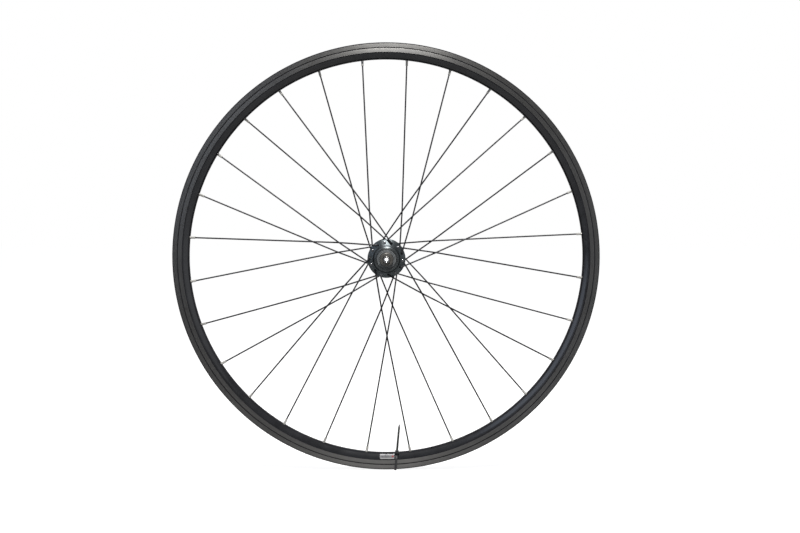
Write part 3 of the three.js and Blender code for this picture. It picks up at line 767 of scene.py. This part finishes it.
# ------------------------------------------------------------- tie and label
def build_tie():
    R0, Y = polar(1, TIE_AT), np.array([0, 1.0, 0])
    R = unit(R0 - 0.14 * polar(1, TIE_AT + 90))          # the tie sits askew
    T = np.cross(Y, R) * np.sign(np.cross(Y, R).dot(polar(1, TIE_AT + 90)))
    shift = (R0 - R) * BED_R
    d = 1.05
    loop = [(RIM_R + d, -(10.5 + d)), (RIM_R + d, 10.5 + d), (301.7 - 0.2 * d, 10.5 + d), (BED_R - d - 0.4, 6 + 0.6 * d),
            (BED_R - d - 0.4, -(6 + 0.6 * d)), (301.7 - 0.2 * d, -(10.5 + d))]
    P = bent(loop, 1.6, 6)
    m = len(P)
    hw, ht = 1.7, 0.55
    sec = bent([(-hw, -ht), (hw, -ht), (hw, ht), (-hw, ht)], 0.22, 3)
    V = []
    for i in range(m):
        t = unit(P[(i + 1) % m] - P[i - 1])
        nrm = np.array([t[1], -t[0]])
        for u, v in sec:
            q = P[i] + nrm * v
            V.append(shift + R * q[0] + Y * q[1] + T * u)
    k = len(sec)
    F = [(i * k + j, i * k + (j + 1) % k, ((i + 1) % m) * k + (j + 1) % k, ((i + 1) % m) * k + j)
         for i in range(m) for j in range(k)]
    strap = facing_out(np.array(V), F)

    # Head: a box with rounded edges and a window
    bm = bmesh.new()
    bmesh.ops.create_cube(bm, size=1.0)
    bmesh.ops.scale(bm, vec=(4.6, 4.4, 5.4), verts=bm.verts)
    bmesh.ops.bevel(bm, geom=list(bm.edges) + list(bm.verts), offset=0.7, segments=4, profile=0.5, affect="EDGES")
    c = shift + R * (BED_R - 2.9) + Y * -8.9
    head = facing_out(np.array([c + R * v.co.x + Y * v.co.y + T * v.co.z for v in bm.verts]),
                      [tuple(v.index for v in f.verts) for f in bm.faces])
    bm.free()

    # Cut-free tail with fine cross teeth and a tapered tip
    inward = -R
    across = unit(np.cross(Y, inward))
    out = np.cross(across, inward)
    if out[1] > 0:
        out = -out
    start = shift + R * (BED_R - 4.2) + Y * -9.2
    V, F = [], []
    st = np.arange(0, 40.51, 0.35)
    for s in st:
        w = 1.6 - 0.1 * s / 35 if s < 35 else 1.5 - 0.9 * (s - 35) / 5.5
        tooth = 0.16 * ((s / 0.7) % 1.0 > 0.45) if s < 34 else 0.0
        sway = 0.5 * (s / 40.5) ** 2
        o = start + inward * s + Y * -sway
        top, low = 0.5 - tooth, -0.5
        for u, v in ((-w, low + 0.15), (-w + 0.15, low), (w - 0.15, low), (w, low + 0.15), (w, 0.35), (w - 0.25, 0.5),
                     (w - 0.45, top), (-w + 0.45, top), (-w + 0.25, 0.5), (-w, 0.35)):
            V.append(o + across * u + out * v)
    k = 10
    for i in range(len(st) - 1):
        for j in range(k):
            F.append((i * k + j, i * k + (j + 1) % k, (i + 1) * k + (j + 1) % k, (i + 1) * k + j))
    F += [tuple(range(k))[::-1], tuple(range((len(st) - 1) * k, len(st) * k))]
    tail = facing_out(np.array(V), F)
    ob = mesh_object("cable_tie_nylon", *merged(strap, head, tail), [M["nylon"]])
    window = [shift + R * (BED_R - 2.9 + a) + Y * (-8.9 - 2.2 + b) + T * e for b in (-0.5, 0.5) for a, e in
              ((-1.2, -1.7), (1.2, -1.7), (1.2, 1.7), (-1.2, 1.7))]
    cut(ob, *facing_out(np.array(window), [(0, 1, 2, 3), (7, 6, 5, 4), (0, 4, 5, 1), (1, 5, 6, 2), (2, 6, 7, 3),
                                           (3, 7, 4, 0)]))
    finish_piece(ob, "wheel", ["cable_tie"], 30)


def build_label():
    """Sticker bent round the sloping wall, following the rim's curve."""
    cols, rows = 64, 20
    half = 11.0
    V, index = [], []
    centre, down, nrm = np.array([297.6, -8.25]), unit(np.array([-8.2, 4.5])), np.array([-0.481, -0.877])
    for off in (0.42, 0.30):
        for i in range(cols + 1):
            a = LABEL_AT + math.degrees((2 * i / cols - 1) * half / 297.6)
            for j in range(rows + 1):
                s = (j / rows - 0.5) * 7.6
                bulge = 0.42 * (1 - (s / 3.9) ** 2)
                q = centre + down * s + nrm * (off + bulge * 0.6)
                V.append(polar(q[0], a, q[1]))
    m = (cols + 1) * (rows + 1)
    F = []
    for i in range(cols):
        for j in range(rows):
            p = i * (rows + 1) + j
            F.append((p, p + 1, p + rows + 2, p + rows + 1))
            u, v = i / cols, j / rows
            if 0.80 < u < 0.93 and 0.30 < v < 0.70:
                index.append(3)
            elif v < 0.22 and 0.04 < u < 0.96:
                index.append(1)
            elif 0.07 < u < 0.72 and (0.40 < v < 0.50 or 0.62 < v < 0.70):
                index.append(2)
            else:
                index.append(0)
    for i in range(cols):
        for j in range(rows):
            p = m + i * (rows + 1) + j
            F.append((p, p + rows + 1, p + rows + 2, p + 1))
            index.append(0)
    ring = ([i * (rows + 1) for i in range(cols + 1)] + [cols * (rows + 1) + j for j in range(1, rows + 1)]
            + [i * (rows + 1) + rows for i in range(cols - 1, -1, -1)] + [j for j in range(rows - 1, 0, -1)])
    for k in range(len(ring)):
        a, b = ring[k], ring[(k + 1) % len(ring)]
        F.append((a, b, m + b, m + a))
        index.append(0)
    V, F = facing_out(np.array(V), F)
    ob = mesh_object("rim_label_sticker", V, F, [M["label"], M["label_bar"], M["label_dark"], M["label_red"]], index)
    finish_piece(ob, "wheel", ["rim_label"], 40)


build_rim()
build_hub(build_spokes())
build_inside()
build_tie()
build_label()


# --------------------------------------------------------- floor and lights
def build_stage():
    me = bpy.data.meshes.new("floor")
    z = -0.3183
    me.from_pydata([(-8, -6, z), (8, -6, z), (8, 10, z), (-8, 10, z)], [], [(0, 1, 2, 3)])
    floor = bpy.data.objects.new("floor", me)
    scene.collection.objects.link(floor)
    mat, nt, b = nodes_of("floor_pale")
    b.inputs["Base Color"].default_value = (0.25, 0.25, 0.25, 1)
    seen_floor = nt.nodes.new("ShaderNodeLightPath")
    glow = nt.nodes.new("ShaderNodeMath")
    glow.operation = "MULTIPLY"
    glow.inputs[1].default_value = 0.93
    nt.links.new(seen_floor.outputs["Is Camera Ray"], glow.inputs[0])
    nt.links.new(glow.outputs[0], b.inputs["Emission Strength"])
    b.inputs["Roughness"].default_value = 0.9
    b.inputs["Emission Color"].default_value = (1, 1, 1, 1)
    b.inputs["Specular IOR Level"].default_value = 0.0
    me.materials.append(mat)

    world = bpy.data.worlds.new("studio")
    scene.world = world
    world.use_nodes = True
    nt = world.node_tree
    nt.nodes.clear()
    out = nt.nodes.new("ShaderNodeOutputWorld")
    mixer = nt.nodes.new("ShaderNodeMixShader")
    seen, lit = nt.nodes.new("ShaderNodeBackground"), nt.nodes.new("ShaderNodeBackground")
    path = nt.nodes.new("ShaderNodeLightPath")
    seen.inputs["Color"].default_value = (1, 1, 1, 1)
    seen.inputs["Strength"].default_value = 1.0
    lit.inputs["Strength"].default_value = 0.36
    tc = nt.nodes.new("ShaderNodeTexCoord")
    sep = nt.nodes.new("ShaderNodeSeparateXYZ")
    ramp = nt.nodes.new("ShaderNodeValToRGB")
    e = ramp.color_ramp.elements
    e[0].position, e[0].color = 0.0, (0.55, 0.57, 0.62, 1)
    e[1].position, e[1].color = 1.0, (0.95, 0.96, 1.0, 1)
    mid = e.new(0.45)
    mid.color = (0.30, 0.31, 0.34, 1)
    half = nt.nodes.new("ShaderNodeMath")
    half.operation = "MULTIPLY_ADD"
    half.inputs[1].default_value, half.inputs[2].default_value = 0.5, 0.5
    nt.links.new(tc.outputs["Generated"], sep.inputs[0])
    nt.links.new(sep.outputs["Z"], half.inputs[0])
    nt.links.new(half.outputs[0], ramp.inputs[0])
    nt.links.new(ramp.outputs["Color"], lit.inputs["Color"])
    nt.links.new(path.outputs["Is Camera Ray"], mixer.inputs[0])
    nt.links.new(lit.outputs[0], mixer.inputs[1])
    nt.links.new(seen.outputs[0], mixer.inputs[2])
    nt.links.new(mixer.outputs[0], out.inputs["Surface"])

    def area(name, pos, aim, size, power, colour=(1, 1, 1), size_y=None, along=(1, 0, 0)):
        L = bpy.data.lights.new(name, "AREA")
        L.shape = "RECTANGLE"
        L.size, L.size_y = size, size_y or size
        L.energy, L.color = power, colour
        o = bpy.data.objects.new(name, L)
        o.location = pos
        back = (Vector(pos) - Vector(aim)).normalized()
        side = Vector(along)
        side = (side - side.dot(back) * back).normalized()
        o.rotation_euler = Matrix((side, back.cross(side), back)).transposed().to_euler()
        scene.collection.objects.link(o)

    area("overhead_softbox", (0.07, -0.75, 1.6), (0, 0, 0.05), 0.55, 92, (1, 0.99, 0.97), 0.4)
    area("left_window", (-1.12, -1.75, 0.60), (0, 0, 0), 1.4, 6.6, (0.74, 0.83, 1.0), 0.6, along=(-0.5, 0, -0.87))
    area("right_fill", (1.3, -1.72, 0.2), (0, 0, 0), 1.0, 3.0, (0.95, 0.97, 1.0))
    area("backdrop_glow", (0.0, 3.0, 0.0), (0, 0, 0), 0.6, 2.2)


build_stage()
scene.view_settings.view_transform = "Standard"
scene.view_settings.look = "None"
